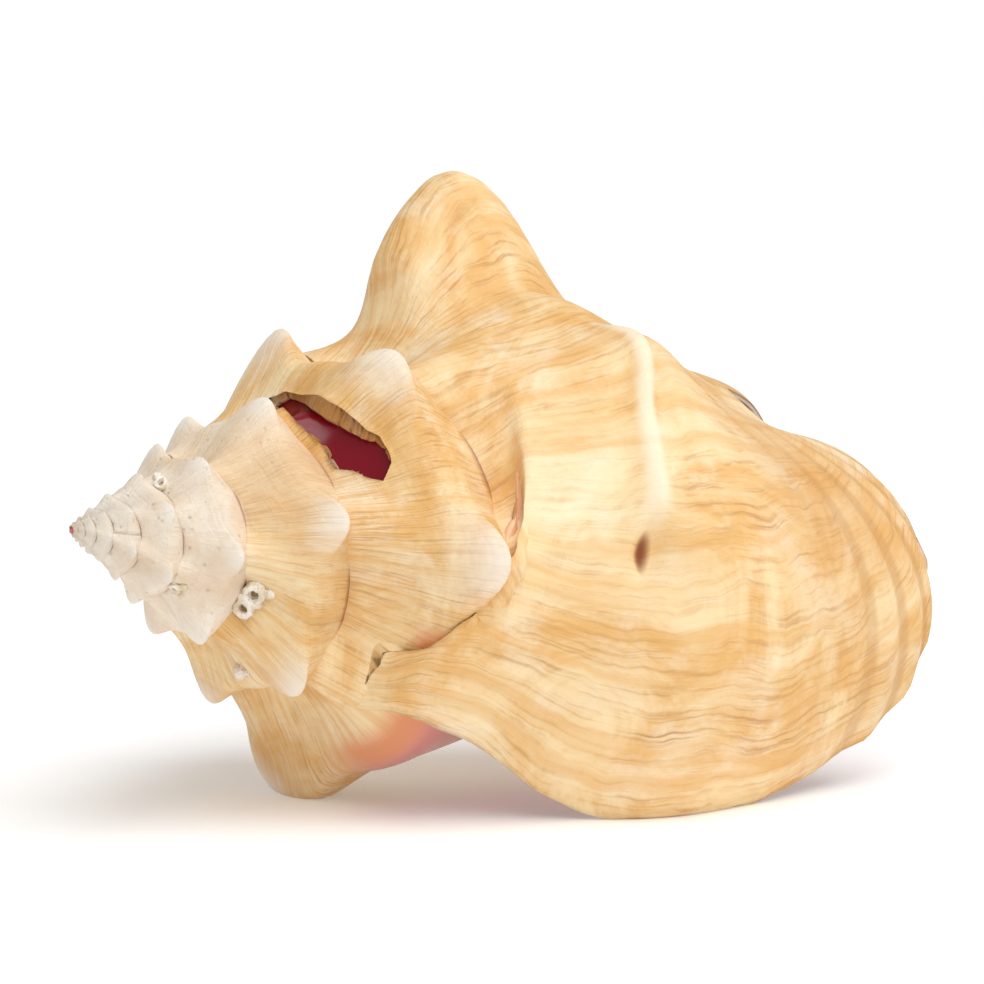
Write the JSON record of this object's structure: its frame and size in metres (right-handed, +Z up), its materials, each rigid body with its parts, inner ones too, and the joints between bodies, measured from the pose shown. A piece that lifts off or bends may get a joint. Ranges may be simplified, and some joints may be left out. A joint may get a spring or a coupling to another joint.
{
  "type": "queen conch shell",
  "caption": "Large knobbed spiral sea shell with a pointed spire, a broad flared lip and a glazed mouth, lying on its lip and one worn spine.",
  "frame": {"origin": "centre of the bounding box's underside, on the floor the shell lies on", "axes": "+X along the shell from the pointed apex to the canal end, +Y away from the flared lip, +Z up"},
  "size_m": [0.2198, 0.1528, 0.1489],
  "materials": {
    "shell": "chalky satin outside, glossy glaze inside the lip",
    "crust": "rough, porous"
  },
  "bodies": {
    "root": {"shell": "shell", "crust_suture": "crust", "crust_band": "crust", "crust_upper": "crust", "crust_spine": "crust"}
  },
  "joints": []
}
